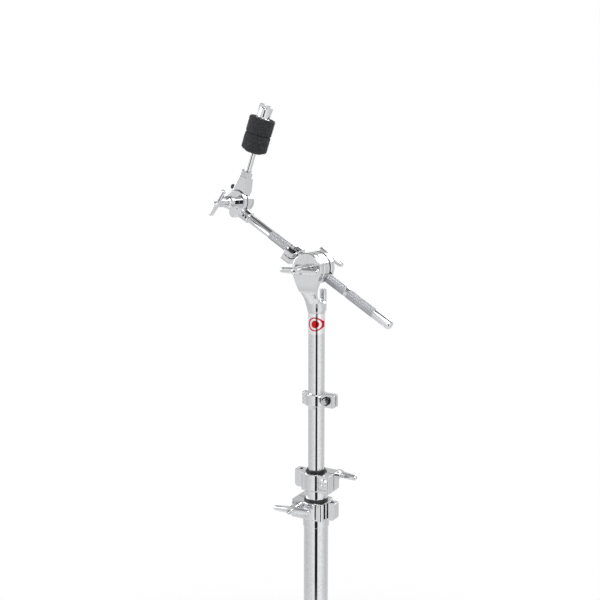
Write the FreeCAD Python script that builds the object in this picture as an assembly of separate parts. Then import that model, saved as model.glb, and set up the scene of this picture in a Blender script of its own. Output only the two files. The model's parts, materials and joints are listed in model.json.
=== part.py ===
import FreeCAD, Part
import math
import os

os.makedirs("parts", exist_ok=True)

V = FreeCAD.Vector
X_AXIS = V(1, 0, 0)
Y_AXIS = V(0, 1, 0)
Z_AXIS = V(0, 0, 1)

# Frame: the origin is on the tubes' common axis at the floor. +Z is up, +X runs under the
# boom's low end, and +Y is the back of the stand, along the clutch axis.  Millimetres.

# ---- driving dimensions -------------------------------------------------------------
upper_clamp_top = 619.0        # height of the upper clamp's flat top face
clamp_step = 34.0              # from the upper clamp's top face down to the lower one's
clutch_height = 237.6          # clutch axis above the upper clamp's top face
running_gap = 0.05             # radial clearance of a running fit
wall = 1.2                     # tube wall

upper_tube_r = 9.525           # 3/4 inch tube
middle_tube_r = 12.7           # 1 inch tube
base_tube_r = 14.3             # 1 1/8 inch tube
upper_tube_top = 186.0         # top of the upper tube above the upper clamp's top face
upper_tube_length = 450.0
middle_tube_length = 470.0
base_tube_bottom = 40.0
tube_seat = 6.2                # tube tops below their clamps' top faces

boom_angle = 32.0              # slope of the boom rod, degrees
boom_y = -1.0                  # plane of the boom rod and of the cymbal rod
boom_drop = 1.5                # the rod passes this far under the clutch axis
boom_r = 5.6                   # over the knurling
boom_smooth_r = 5.15
boom_low_end = 109.8           # along the rod from the clutch
boom_knurl = (-68.8, 86.0)
boom_band = 46.5               # plain band in the knurling
clutch_r = 18.2
cheek_y = (-25.0, -17.2)       # yoke cheek
washer_y = (-17.0, -16.0)
hub_y = (-15.9, -2.6)
gasket_y = (-2.5, 0.5)
plate_y = (0.6, 9.5)
pinch_u = 0.0                  # boom clamp screw, in the boom's frame
pinch_n = 11.6

tilter_u = -124.6              # tilter axis in the boom's frame
tilter_rise = 8.0              # above the rod's axis
tilter_lean = 19.4             # lean of the cymbal rod from the vertical, degrees
sleeve_rim = -101.5            # mouth of the tilter's socket along the rod
rod_start = -110.2             # the rod's end in the socket
head_bottom = 15.0             # distances along the cymbal rod from the tilter axis
head_top = 29.9
neck_top = 37.5
felt_bottom = 62.0
felt_height = 19.0
felt_r = 14.8
nut_top = 115.5
cymbal_rod_r = 4.0

tube_lock = (79.3, 93.0)       # the lock's band above the clamp's top face
leg_pivot_r = 27.0
lower_pivot_z = 72.0
brace_length = 180.0
leg_angle = 45.0
leg_length = 440.0
leg_hub_z = lower_pivot_z + 2 * brace_length * math.cos(math.radians(leg_angle))

clutch_z = upper_clamp_top + clutch_height
lower_clamp_top = upper_clamp_top - clamp_step


# ---- helpers --------------------------------------------------------------------------
def cyl(radius, start, end, axis="z", at=(0.0, 0.0)):
    """Cylinder along an axis from start to end; at gives its two other coordinates."""
    if axis == "z":
        return Part.makeCylinder(radius, end - start, V(at[0], at[1], start), Z_AXIS)
    if axis == "y":
        return Part.makeCylinder(radius, end - start, V(at[0], start, at[1]), Y_AXIS)
    return Part.makeCylinder(radius, end - start, V(start, at[0], at[1]), X_AXIS)


def ring(outer, inner, start, end, axis="z", at=(0.0, 0.0)):
    return cyl(outer, start, end, axis, at).cut(cyl(inner, start - 1, end + 1, axis, at))


def box(x, y, z):
    return Part.makeBox(x[1] - x[0], y[1] - y[0], z[1] - z[0], V(x[0], y[0], z[0]))


def turned(profile, axis="z", at=(0.0, 0.0)):
    """Solid of revolution from (radius, height) points, about an axis."""
    points = [V(r, 0, h) for r, h in profile]
    solid = Part.Face(Part.makePolygon(points + [points[0]])).revolve(V(0, 0, 0), Z_AXIS, 360)
    solid = Part.Solid(solid) if solid.ShapeType != "Solid" else solid
    if axis == "y":
        solid.rotate(V(0, 0, 0), X_AXIS, -90)
        solid.translate(V(at[0], 0, at[1]))
    elif axis == "x":
        solid.rotate(V(0, 0, 0), Y_AXIS, 90)
        solid.translate(V(0, at[0], at[1]))
    else:
        solid.translate(V(at[0], at[1], 0))
    return solid


def coin(radius, start, end, edge, axis="z", at=(0.0, 0.0)):
    """Disc with both rims bevelled by edge."""
    profile = [(0, start), (radius - edge, start), (radius, start + edge),
               (radius, end - edge), (radius - edge, end), (0, end)]
    return turned(profile, axis, at)


def plate_xz(points, y):
    """Flat plate from an (x, z) outline, between two y values."""
    outline = Part.makePolygon([V(px, y[0], pz) for px, pz in points + [points[0]]])
    return Part.Face(outline).extrude(V(0, y[1] - y[0], 0))


def plate_yz(points, x):
    outline = Part.makePolygon([V(x[0], py, pz) for py, pz in points + [points[0]]])
    return Part.Face(outline).extrude(V(x[1] - x[0], 0, 0))


def plate_xy(points, z):
    outline = Part.makePolygon([V(px, py, z[0]) for px, py in points + [points[0]]])
    return Part.Face(outline).extrude(V(0, 0, z[1] - z[0]))


def hexagon(across_flats, start, end, axis="z", at=(0.0, 0.0)):
    radius = across_flats / math.sqrt(3.0)
    corners = [(radius * math.cos(math.radians(60 * k)), radius * math.sin(math.radians(60 * k)))
               for k in range(6)]
    if axis == "z":
        return plate_xy([(at[0] + a, at[1] + b) for a, b in corners], (start, end))
    return plate_xz([(at[0] + a, at[1] + b) for a, b in corners], (start, end))


def fuse(shapes):
    whole = shapes[0].multiFuse(shapes[1:])
    return whole.removeSplitter()


def softened(shape, radius, wanted):
    """Round the edges for which wanted(edge) holds."""
    edges = [edge for edge in shape.Edges if wanted(edge)]
    return shape.makeFillet(radius, edges)


def upright(edge):
    """True for a straight edge along Z."""
    ends = edge.Vertexes
    if len(ends) != 2 or not isinstance(edge.Curve, Part.Line):
        return False
    step = ends[1].Point - ends[0].Point
    return abs(step.x) + abs(step.y) < 1e-6


def moved(shape, x=0.0, y=0.0, z=0.0):
    copy = shape.copy()
    copy.translate(V(x, y, z))
    return copy


def turned_about_z(shape, degrees):
    copy = shape.copy()
    copy.rotate(V(0, 0, 0), Z_AXIS, degrees)
    return copy


def at_boom(shape):
    """From the boom's frame (along the rod, back, square to the rod) to the stand's."""
    copy = shape.copy()
    copy.rotate(V(0, 0, 0), Y_AXIS, boom_angle)
    copy.translate(V(0, 0, clutch_z))
    return copy


def at_cymbal_rod(shape):
    """From the cymbal rod's frame, with Z along the rod and its origin on the tilter axis."""
    u = tilter_u
    n = tilter_rise - boom_drop
    slope = math.radians(boom_angle)
    copy = shape.copy()
    copy.rotate(V(0, 0, 0), Y_AXIS, tilter_lean)
    copy.translate(V(u * math.cos(slope) + n * math.sin(slope), boom_y,
                     clutch_z - u * math.sin(slope) + n * math.cos(slope)))
    return copy


def save(name, shapes):
    if not isinstance(shapes, list):
        shapes = [shapes]
    solids = [solid for shape in shapes for solid in shape.Solids]
    for solid in solids:
        if not solid.isValid() or solid.Volume <= 0:
            raise RuntimeError("bad solid in " + name)
    whole = solids[0] if len(solids) == 1 else Part.makeCompound(solids)
    whole.exportStep("parts/" + name + ".step")


# ---- shared hardware --------------------------------------------------------------------
def wing_handle(hub_r, bar_half, bar_at, hub_end, shank_r, shank_end, spread=4.4):
    """T-shaped wing bolt on Z: the shank runs from 0 down to shank_end, the hub up to hub_end."""
    hub = turned([(0, 0), (hub_r - 0.8, 0), (hub_r, 0.8), (hub_r, hub_end * 0.45),
                  (hub_r * 0.82, hub_end - 0.8), (hub_r * 0.82 - 0.8, hub_end), (0, hub_end)])
    wings = []
    for side in (1, -1):
        arm = Part.makeCone(spread, spread * 0.72, bar_half - spread * 0.72,
                            V(0, 0, bar_at), X_AXIS * side)
        tip = Part.makeSphere(spread * 0.72, V(side * (bar_half - spread * 0.72), 0, bar_at))
        wings += [arm, tip]
    handle = fuse([hub] + wings)
    handle = handle.cut(box((-bar_half - 1, bar_half + 1), (spread * 0.72, 20), (-20, 80)))
    handle = handle.cut(box((-bar_half - 1, bar_half + 1), (-20, -spread * 0.72), (-20, 80)))
    handle = fuse([handle, cyl(hub_r * 0.94, 0.4, hub_end * 0.5)])
    handle = handle.cut(cyl(hub_r * 0.42, hub_end - 2.5, hub_end + 1))
    return fuse([handle, cyl(shank_r, shank_end, 0.5)])


def facing_back(shape, x, y, z, roll):
    """Stand a handle made on +Z up along +Y, turned by roll about its own axis."""
    copy = shape.copy()
    copy.rotate(V(0, 0, 0), Z_AXIS, roll)
    copy.rotate(V(0, 0, 0), X_AXIS, -90)
    copy.translate(V(x, y, z))
    return copy


def facing_front(shape, x, y, z, roll):
    copy = shape.copy()
    copy.rotate(V(0, 0, 0), Z_AXIS, roll)
    copy.rotate(V(0, 0, 0), X_AXIS, 90)
    copy.translate(V(x, y, z))
    return copy


def key_bolt(shank_r, shank_length):
    """Round flanged bolt with the square head of a drum key; the flange sits on z = 0."""
    flange = coin(5.0, 0, 2.4, 0.6)
    square = box((-2.8, 2.8), (-2.8, 2.8), (2.2, 7.0))
    square = softened(square, 0.5, upright)
    return fuse([flange, square, cyl(shank_r, -shank_length, 0.2)])


# ---- seat for the cymbal -------------------------------------------------------------------
def cymbal_seat():
    seat = felt_bottom
    mid = felt_bottom + felt_height
    top = felt_bottom + 2 * felt_height
    sleeve_r = cymbal_rod_r + 1.6
    loose = cymbal_rod_r + running_gap
    washer = turned([(cymbal_rod_r + 0.2, seat - 2.2), (9.5, seat - 2.2), (11.0, seat - 0.9),
                     (11.0, seat - 0.05), (cymbal_rod_r + 0.2, seat - 0.05)])
    sleeve = ring(sleeve_r, cymbal_rod_r + 0.1, seat + 0.1, top - 3.0)
    low_edge = 1.6
    high_edge = 0.9
    felts = []
    for low, high in ((seat, mid - 0.1), (mid + 0.1, top)):
        felts.append(turned([(sleeve_r + 0.2, low), (felt_r - low_edge, low),
                             (felt_r, low + low_edge), (felt_r, high - high_edge),
                             (felt_r - high_edge, high), (sleeve_r + 0.2, high)]))
    felts[1] = felts[1].cut(cyl(8.6, top - 2.4, top + 1))
    nut = turned([(0, top - 2.2), (8.0, top - 2.2), (8.0, top - 0.2), (6.6, top + 1.0),
                  (5.6, nut_top - 4.6), (4.9, nut_top - 3.6), (0, nut_top - 3.6)])
    fins = []
    for side in (1, -1):
        outline = [(side * 0.9, top + 0.4), (side * 7.4, top + 0.6), (side * 8.4, nut_top - 1.4),
                   (side * 7.4, nut_top), (side * 1.4, nut_top - 0.3), (side * 0.9, nut_top - 1.2)]
        fins.append(plate_xz(outline, (-2.6, 2.6)))
    nut = fuse([nut] + fins).cut(cyl(loose, top - 4, nut_top - 4.8))
    nut = nut.cut(cyl(1.3, 2.5, 12, "x", (0, top + 2.4)))
    save("cymbal_washer", at_cymbal_rod(washer))
    save("cymbal_sleeve", at_cymbal_rod(sleeve))
    save("lower_felt", at_cymbal_rod(felts[0]))
    save("upper_felt", at_cymbal_rod(felts[1]))
    save("cymbal_wing_nut", at_cymbal_rod(nut))


def cymbal_rod():
    thread_start = felt_bottom + 2 * felt_height - 8.0
    thread_end = nut_top - 5.4
    thread_r = cymbal_rod_r - 0.25
    rod = cyl(cymbal_rod_r, head_top - 10.0, thread_start)
    thread = turned([(0, thread_start), (thread_r, thread_start), (thread_r, thread_end - 1.0),
                     (thread_r - 0.9, thread_end), (0, thread_end)])
    jam_nut = hexagon(13.0, head_top, neck_top)
    jam_nut = jam_nut.common(turned([(0, head_top), (6.7, head_top), (7.5, head_top + 0.7),
                                     (7.5, neck_top - 0.9), (6.4, neck_top), (0, neck_top)]))
    save("cymbal_rod", at_cymbal_rod(fuse([rod, thread])))
    save("rod_jam_nut", at_cymbal_rod(jam_nut.cut(cyl(cymbal_rod_r, 0, 60))))


# ---- tilter ----------------------------------------------------------------------------------
# Along its bolt, from the front: wing bolt, brake cap, the base's disc, a friction washer, the
# head's disc and a round nut.  The y values are counted from the cymbal rod's plane.
def tilter():
    bolt_r = 3.4
    disc_r = 13.6
    base_y = (-8.0, -2.2)
    washer_y_span = (-2.1, 0.4)
    tongue_y = (0.5, 6.5)
    nut_y = (9.5, 16.0)
    block_y = (-6.2, 6.5)
    cap_y = (-28.0, -8.1)
    bolt_clearance = bolt_r + running_gap

    flank = [(-5.9, head_top), (5.9, head_top), (8.8, head_bottom + 1.0), (8.8, 5.0), (-9.6, 5.0),
             (-9.6, 11.0)]
    block = plate_xz(flank, block_y)
    block = softened(block, 1.2, lambda edge: leans_up(edge) and edge.CenterOfMass.y < 0)
    block = block.cut(cyl(disc_r + 0.7, block_y[0] - 1, tongue_y[0], "y"))
    head = fuse([block, coin(disc_r - 0.6, tongue_y[0], tongue_y[1], 0.8, "y")])
    head = head.cut(cyl(bolt_clearance, -30, 30, "y"))
    head = head.cut(cyl(cymbal_rod_r, head_top - 10.0, head_top + 1))
    screw_at = (-4.0, 14.6)
    screw_x = (-12.6, -8.9, -6.0)
    head = head.cut(cyl(1.9, screw_x[0], screw_x[2], "x", screw_at))
    head = head.cut(cyl(3.0, screw_x[0], screw_x[1], "x", screw_at))
    lock_screw = fuse([cyl(1.9, screw_x[1] - 0.5, screw_x[2], "x", screw_at),
                       coin(2.9, screw_x[0], screw_x[1], 0.8, "x", screw_at)])
    lock_screw = lock_screw.cut(cyl(1.3, screw_x[0] - 1, screw_x[0] + 1.4, "x", screw_at))
    save("tilter_head", at_cymbal_rod(head))
    save("head_lock_screw", at_cymbal_rod(lock_screw))

    washer = ring(disc_r - 0.8, bolt_r + 0.3, washer_y_span[0], washer_y_span[1], "y")
    save("tilter_washer", at_cymbal_rod(washer))

    cap = turned([(0, -cap_y[1]), (5.6, -cap_y[1]), (5.6, 18.4), (7.4, 19.2), (7.4, 24.0),
                  (6.6, 26.6), (5.2, -cap_y[0]), (0, -cap_y[0])], "y")
    cap.rotate(V(0, 0, 0), Z_AXIS, 180)
    cap = cap.cut(cyl(bolt_clearance, -40, 0, "y"))
    cap = cap.cut(ring(4.9, bolt_clearance - 0.1, -16.0, cap_y[1] + 1, "y"))
    spring = ring(4.7, 3.7, -15.8, cap_y[1] - 0.1, "y")
    save("tilter_brake_cap", at_cymbal_rod(cap))
    save("tilter_brake_spring", at_cymbal_rod(spring))

    handle = wing_handle(5.2, 17.5, 16.6, 19.8, bolt_r, -40.6, 3.9)
    bolt = facing_front(handle, 0, cap_y[0] - 0.2, 0, 75)
    nut = fuse([cyl(6.0, tongue_y[1] + 0.1, nut_y[0] + 1, "y"),
                coin(11.4, nut_y[0], nut_y[1], 0.8, "y")])
    nut = nut.cut(cyl(bolt_clearance, -40, 40, "y"))
    nut = nut.cut(ring(9.4, 7.0, nut_y[0] - 1, nut_y[0] + 1.6, "y"))
    save("tilter_wing_bolt", at_cymbal_rod(bolt))
    save("tilter_nut", at_cymbal_rod(nut))

    # The base is one casting: the front disc, a lobe under it, and the socket for the boom
    # rod.  It is made in the boom's frame.
    centre = (tilter_u, tilter_rise - boom_drop)
    rod_line = (boom_y, -boom_drop)
    disc = coin(disc_r, boom_y + base_y[0], boom_y + base_y[1], 0.8, "y", centre)
    lobe = coin(6.8, boom_y + base_y[0], boom_y, 1.4, "y", (centre[0] + 3.6, centre[1] - 11.5))
    socket = turned([(0, tilter_u - 3.0), (5.5, tilter_u - 3.0), (7.4, tilter_u + 1.0),
                     (6.9, sleeve_rim - 3.0), (6.9, sleeve_rim - 0.6), (6.3, sleeve_rim),
                     (0, sleeve_rim)], "x", rod_line)
    behind = cyl(disc_r + 0.7, boom_y + base_y[1], boom_y + 20, "y", centre)
    base = fuse([disc, fuse([lobe, socket]).cut(behind)])
    base = base.cut(cyl(bolt_clearance, -40, 40, "y", centre))
    base = base.cut(cyl(boom_smooth_r, rod_start, sleeve_rim + 1, "x", rod_line))
    base = base.cut(cyl(1.2, boom_y - 9, boom_y - 5.5, "y", (centre[0] + 6.4, centre[1] - 5.0)))
    screws = []
    for u in (sleeve_rim - 2.4, sleeve_rim - 6.2):
        base = base.cut(cyl(1.5, boom_y - 8, boom_y - boom_smooth_r + 0.2, "y", (u, -boom_drop)))
        screw = cyl(1.5, boom_y - 6.6, boom_y - boom_smooth_r, "y", (u, -boom_drop))
        socket_hex = hexagon(1.5, boom_y - 8, boom_y - 5.9, "y", (u, -boom_drop))
        screws.append(at_boom(screw.cut(socket_hex)))
    save("tilter_base", at_boom(base))
    save("socket_screws", screws)


def leans_up(edge):
    """True for a straight edge square to Y that rises at least as much as it runs."""
    ends = edge.Vertexes
    if len(ends) != 2 or not isinstance(edge.Curve, Part.Line):
        return False
    step = ends[1].Point - ends[0].Point
    return abs(step.y) < 1e-6 and abs(step.z) > abs(step.x) and edge.CenterOfMass.z > 11


# ---- boom rod and its lock ---------------------------------------------------------------------
def boom():
    start = rod_start + 0.1
    k0, k1 = boom_knurl
    profile = [(0, start), (boom_smooth_r, start), (boom_smooth_r, k0 - 0.5), (boom_r, k0),
               (boom_r, boom_band - 1.6), (boom_r - 0.45, boom_band - 1.2),
               (boom_r - 0.45, boom_band + 1.2), (boom_r, boom_band + 1.6), (boom_r, k1),
               (boom_r - 0.2, k1 + 0.5), (boom_r - 0.2, boom_low_end - 3.6),
               (boom_r - 0.9, boom_low_end - 1.6), (boom_r - 2.4, boom_low_end - 0.3),
               (boom_r - 3.6, boom_low_end), (0, boom_low_end)]
    rod = turned(profile, "x", (boom_y, -boom_drop))
    save("boom_rod", at_boom(rod))

    lock = (-36.5, -23.5)
    middle = (lock[0] + lock[1]) / 2
    band = turned([(0, lock[0]), (8.4, lock[0]), (9.4, lock[0] + 1), (9.4, lock[1] - 1),
                   (8.4, lock[1]), (0, lock[1])], "x", (boom_y, -boom_drop))
    ear_y = (boom_y - 19.5, boom_y)
    ears = box((lock[0] + 0.6, lock[1] - 0.6), ear_y, (-boom_drop - 9.2, -boom_drop + 5.4))
    ears = softened(ears, 3.0, lambda edge: along_x(edge) and edge.CenterOfMass.y < boom_y - 5)
    collar = fuse([band, ears])
    bore = cyl(boom_r + running_gap, lock[0] - 1, lock[1] + 1, "x", (boom_y, -boom_drop))
    slit = box((lock[0] - 1, lock[1] + 1), (boom_y - 30, boom_y), (-boom_drop - 2.4, -boom_drop - 1.0))
    bolt_y = boom_y - 13.8
    collar = collar.cut(bore).cut(slit).cut(cyl(2.6, -40, 40, "z", (middle, bolt_y)))
    bolt = moved(key_bolt(2.6, 13.5), middle, bolt_y, -boom_drop + 5.4)
    save("boom_lock", at_boom(collar))
    save("boom_lock_bolt", at_boom(bolt))


def along_x(edge):
    """True for a straight edge along X."""
    ends = edge.Vertexes
    if len(ends) != 2 or not isinstance(edge.Curve, Part.Line):
        return False
    step = ends[1].Point - ends[0].Point
    return abs(step.z) + abs(step.y) < 1e-6


# ---- clutch --------------------------------------------------------------------------------------
def clutch():
    rod_line = (boom_y, -boom_drop)
    pinch_at = (pinch_u, pinch_n)
    liner_r = boom_r + 1.6
    bolt_r = 4.0
    pinch_r = 3.0
    seat = cyl(liner_r + running_gap, -30, 30, "x", rod_line)
    pinch = cyl(pinch_r + running_gap, -9.5, plate_y[1] + 1, "y", pinch_at)
    hub = coin(clutch_r, hub_y[0], hub_y[1], 0.9, "y").cut(seat).cut(pinch)
    hub = hub.cut(ring(clutch_r + 1, clutch_r - 0.8, -10.4, -9.4, "y"))
    hub = hub.cut(cyl(bolt_r + running_gap, hub_y[0] - 1, -9.6, "y"))
    gasket = cyl(clutch_r - 0.5, gasket_y[0], gasket_y[1], "y").cut(seat).cut(pinch)
    rear = coin(clutch_r, plate_y[0], plate_y[1], 1.2, "y").cut(seat).cut(pinch)
    rear = rear.cut(ring(clutch_r - 3.4, 6.4, plate_y[1] - 0.8, plate_y[1] + 1, "y"))
    rear = rear.cut(cyl(8.0, plate_y[1] - 0.8, plate_y[1] + 1, "y", pinch_at))
    liner = ring(liner_r, boom_r + running_gap, -13, 13, "x", rod_line)
    split = box((-20, 20), (boom_y + 2, boom_y + 12), (-boom_drop - 0.6, -boom_drop + 0.6))
    washer = ring(16.4, bolt_r + 0.3, washer_y[0], washer_y[1], "y")
    save("boom_hub", at_boom(hub))
    save("clutch_gasket", at_boom(gasket))
    save("clutch_rear_plate", at_boom(rear))
    save("boom_liner", at_boom(liner.cut(split)))
    save("clutch_washer", at_boom(washer))

    handle = wing_handle(6.2, 24.0, 15.0, 24.6, bolt_r, -15.0)
    save("clutch_wing_bolt", facing_front(handle, 0, cheek_y[0] - 0.2, clutch_z, 0))
    rear_handle = wing_handle(5.6, 17.5, 14.6, 20.0, pinch_r, -18.0, 4.6)
    rear_bolt = facing_back(rear_handle, pinch_u, plate_y[1] - 0.6, pinch_n, 0)
    save("boom_wing_bolt", at_boom(rear_bolt))


def yoke():
    """Cast yoke: a round front cheek on a tapering neck, a rear lug, and a plug for the tube."""
    top = upper_tube_top - clutch_height      # the tube's top, from the clutch axis
    floor = top + 13.5                        # floor of the gap behind the cheek
    bolt_r = 4.0
    front = [(cheek_y[0], -17.0), (-24.6, -20.5), (-22.8, -25.5), (-19.6, -31.0), (-16.0, -36.0),
             (-13.2, -41.0), (-12.0, -46.0), (-12.0, top)]
    back = [(2.0, floor), (-6.5, floor + 0.4), (-11.6, floor + 3.4), (-14.6, floor + 8.6),
            (-16.6, floor + 15.0), (cheek_y[1], -17.0)]
    side_edges = [smooth_yz(front), line_yz(front[-1], (2.0, top)), line_yz((2.0, top), back[0]),
                  smooth_yz(back), line_yz(back[-1], front[0])]
    side = Part.Face(Part.Wire(side_edges)).extrude(V(2 * clutch_r, 0, 0))
    side.translate(V(-clutch_r, 0, 0))
    shoulders = box((-clutch_r, clutch_r), cheek_y, (-17.5, -6.5))
    shoulder = [(-17.1, -6.2), (-14.9, -12.2), (-12.5, -18.0), (-10.2, -24.0), (-8.8, -31.0),
                (-9.2, -38.0), (-11.0, -44.0), (-12.6, top)]
    mirrored = [(-px, pz) for px, pz in reversed(shoulder)]
    face_edges = [smooth_xz(shoulder), line_xz(shoulder[-1], mirrored[0]), smooth_xz(mirrored),
                  line_xz(mirrored[-1], shoulder[0])]
    outline = Part.Face(Part.Wire(face_edges)).extrude(V(0, 42, 0))
    outline.translate(V(0, -30, 0))
    swell = turned([(0, top), (9.7, top), (10.7, top + 3), (11.6, top + 7), (13.2, top + 12),
                    (16.8, top + 18), (22.0, top + 24), (29.0, top + 30), (37.0, -15.0), (37.0, -6.0),
                    (0, -6.0)])
    neck = fuse([side, shoulders]).common(outline).common(swell)
    cheek = coin(clutch_r, cheek_y[0], cheek_y[1], 0.9, "y")
    foot_ring = turned([(0, top), (9.7, top), (10.7, top + 3), (11.3, top + 7), (11.3, floor - 1.6),
                        (9.9, floor - 0.1), (0, floor - 0.1)])
    lug = cyl(3.9, top + 3.0, -24.8, "z", (4.6, 7.0))
    lug = fuse([lug, Part.makeSphere(3.9, V(4.6, 7.0, top + 3.9))])
    plug = coin(upper_tube_r - wall, top - 34.0, top + 1.0, 0.8)
    body = fuse([cheek, neck, foot_ring, lug, plug])
    body = body.cut(cyl(bolt_r + 0.2, -40, 0, "y"))
    body = body.cut(cyl(1.6, 5.0, 14.0, "y", (6.2, -42.2)))
    pin = cyl(1.5, -9.0, 9.0, "x", (0.0, top - 12.0))
    body = body.cut(pin)
    for piece in (body, pin):
        piece.translate(V(0, 0, clutch_z))
    save("clutch_yoke", body)
    save("yoke_pin", pin)
    return pin


def smooth_curve(points):
    curve = Part.BSplineCurve()
    curve.interpolate(points)
    return curve.toShape()


def smooth_yz(points):
    return smooth_curve([V(0, py, pz) for py, pz in points])


def smooth_xz(points):
    return smooth_curve([V(px, 0, pz) for px, pz in points])


def line_yz(start, end):
    return Part.makeLine(V(0, start[0], start[1]), V(0, end[0], end[1]))


def line_xz(start, end):
    return Part.makeLine(V(start[0], 0, start[1]), V(end[0], 0, end[1]))


# ---- tubes and the tube lock -----------------------------------------------------------------------
def tubes(pin):
    top = upper_clamp_top + upper_tube_top
    upper = ring(upper_tube_r, upper_tube_r - wall, top - upper_tube_length, top)
    upper = upper.cut(pin)
    middle_top = upper_clamp_top - tube_seat
    middle = ring(middle_tube_r, middle_tube_r - wall, middle_top - middle_tube_length, middle_top)
    base = ring(base_tube_r, base_tube_r - wall, base_tube_bottom, lower_clamp_top - tube_seat)
    base = base.cut(hub_screw())
    save("upper_tube", upper)
    save("middle_tube", middle)
    save("base_tube", base)

    badge_z = upper_clamp_top + 174.2
    band = ring(upper_tube_r + 0.25, upper_tube_r, badge_z - 11.5, badge_z + 11.5)
    mark = cyl(8.0, -20, 0, "y", (2.6, badge_z)).cut(cyl(6.6, -20, 0, "y", (2.6, badge_z)))
    dot = cyl(4.4, -20, 0, "y", (2.6, badge_z))
    stencil = Part.makeCompound([mark, dot])
    raised = ring(upper_tube_r + 0.5, upper_tube_r + 0.2, badge_z - 9, badge_z + 9)
    front = box((-20, 20), (-20, 0), (badge_z - 10, badge_z + 10))
    marks = [raised.common(front).common(solid) for solid in stencil.Solids]
    save("tube_band", band.cut(Part.makeCompound(marks)))
    save("tube_mark", marks)


def tube_lock_pieces():
    """Hinged two-piece collar on the upper tube, closed by a key bolt between its ears."""
    low = upper_clamp_top + tube_lock[0]
    high = upper_clamp_top + tube_lock[1]
    bore = cyl(upper_tube_r + running_gap, low - 9, high + 9)
    outer = upper_tube_r + 3.2
    shell = turned([(0, low), (outer - 0.6, low), (outer, low + 0.6), (outer, high - 0.6),
                    (outer - 0.6, high), (0, high)])
    ears = box((4, 25.0), (-7.4, 7.4), (low, high))
    ears = softened(ears, 2.6, lambda edge: upright(edge) and edge.CenterOfMass.x > 20)
    knuckle = cyl(4.0, low, high, "z", (-outer - 1.2, 0))
    block = fuse([shell, ears, knuckle])
    bolt_x = 16.4
    bolt_z = (low + high) / 2 + 0.7
    bolt_hole = cyl(3.0, -20, 20, "y", (bolt_x, bolt_z))
    pin = cyl(1.7, low - 1.2, high + 1.2, "z", (-outer - 1.2, 0))
    block = block.cut(bore).cut(bolt_hole).cut(pin)
    front_half = box((-40, 40), (-40, -0.9), (low - 9, high + 9))
    rear_half = box((-40, 40), (0.9, 40), (low - 9, high + 9))
    knuckle_gap = box((-outer - 6, -outer + 0.4), (-9, 9), (low + 4.6, high - 4.6))
    knuckle_ends = box((-outer - 6, -outer + 0.4), (-9, 9), (low - 1, low + 4.4))
    knuckle_ends = fuse([knuckle_ends, moved(knuckle_ends, 0, 0, high - low - 3.4)])
    hinge_zone = box((-outer - 6, -outer + 0.4), (-9, 9), (low - 1, high + 1))
    front = fuse([block.common(front_half).cut(hinge_zone), block.common(knuckle_ends)])
    rear = fuse([block.common(rear_half).cut(hinge_zone), block.common(knuckle_gap)])
    tab = box((-3.4, 3.4), (-outer, -upper_tube_r - 0.4), (low - 3.2, low + 1.0))
    front = fuse([front, tab])
    bolt = facing_front(key_bolt(3.0, 17.4), bolt_x, -7.4, bolt_z, 20)
    save("tube_lock_front", front)
    save("tube_lock_rear", rear)
    save("tube_lock_pin", pin)
    save("tube_lock_bolt", bolt)


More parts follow.
